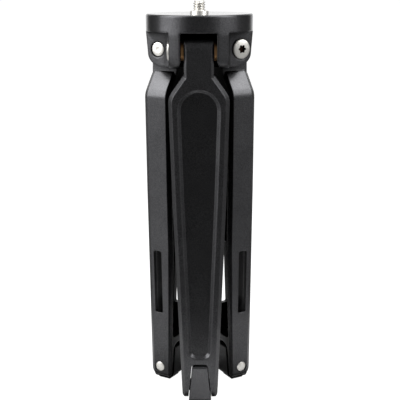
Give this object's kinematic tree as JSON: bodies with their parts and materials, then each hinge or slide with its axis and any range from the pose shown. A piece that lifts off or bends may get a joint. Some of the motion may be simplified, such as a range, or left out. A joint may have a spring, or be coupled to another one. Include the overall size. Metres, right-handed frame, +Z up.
{
  "type": "mini tripod",
  "caption": "Folded table-top mini tripod with a threaded camera stud on a round disc, hinged milled channel legs with friction washers, and swivel feet.",
  "frame": {"origin": "centre of the footprint at the height of the soles, on the hub's axis", "axes": "+Z up along the hub's axis and out of the camera stud, -Y towards the front leg, legs folded straight down"},
  "size_m": [0.0578, 0.0554, 0.2123],
  "materials": {
    "anodised_aluminium": "bead-blasted and black anodised, grainy satin",
    "anodised_foot": "black anodised, satin",
    "stainless_steel": "turned stainless steel, bright",
    "black_oxide_steel": "black oxide, satin",
    "bronze": "turned bronze, satin",
    "rubber_sole": "moulded black rubber, matt"
  },
  "bodies": {
    "hub": {"hub": "anodised_aluminium", "stud": "stainless_steel", "stud_lock_screw": "black_oxide_steel", "pivot_screw_front": "stainless_steel", "pivot_nut_front": "stainless_steel", "friction_washers_front": "bronze", "pivot_screw_right": "stainless_steel", "pivot_nut_right": "stainless_steel", "friction_washers_right": "bronze", "pivot_screw_left": "stainless_steel", "pivot_nut_left": "stainless_steel", "friction_washers_left": "bronze"},
    "leg_front": {"leg_front": "anodised_aluminium", "foot_rivet_front": "stainless_steel", "foot_washers_front": "black_oxide_steel"},
    "foot_front": {"foot_front": "anodised_foot", "foot_pad_front": "rubber_sole"},
    "leg_right": {"leg_right": "anodised_aluminium", "foot_rivet_right": "stainless_steel", "foot_washers_right": "black_oxide_steel"},
    "foot_right": {"foot_right": "anodised_foot", "foot_pad_right": "rubber_sole"},
    "leg_left": {"leg_left": "anodised_aluminium", "foot_rivet_left": "stainless_steel", "foot_washers_left": "black_oxide_steel"},
    "foot_left": {"foot_left": "anodised_foot", "foot_pad_left": "rubber_sole"}
  },
  "joints": [
    {"name": "leg_front_hinge", "type": "hinge", "parent": "hub", "child": "leg_front", "pos_m": [0, -0.0161, 0.18795], "axis": [-1, 0, 0], "range_deg": [-0.7, 74.3]},
    {"name": "foot_front_swivel", "type": "hinge", "parent": "leg_front", "child": "foot_front", "pos_m": [0, -0.02129, 0.009], "axis": [1, 0, 0], "range_deg": [0, 80]},
    {"name": "leg_right_hinge", "type": "hinge", "parent": "hub", "child": "leg_right", "pos_m": [0.01394, 0.00805, 0.18795], "axis": [0.5, -0.866, 0], "range_deg": [-0.7, 74.3]},
    {"name": "foot_right_swivel", "type": "hinge", "parent": "leg_right", "child": "foot_right", "pos_m": [0.01843, 0.01064, 0.009], "axis": [-0.5, 0.866, 0], "range_deg": [0, 80]},
    {"name": "leg_left_hinge", "type": "hinge", "parent": "hub", "child": "leg_left", "pos_m": [-0.01394, 0.00805, 0.18795], "axis": [0.5, 0.866, 0], "range_deg": [-0.7, 74.3]},
    {"name": "foot_left_swivel", "type": "hinge", "parent": "leg_left", "child": "foot_left", "pos_m": [-0.01843, 0.01064, 0.009], "axis": [-0.5, -0.866, 0], "range_deg": [0, 80]}
  ]
}
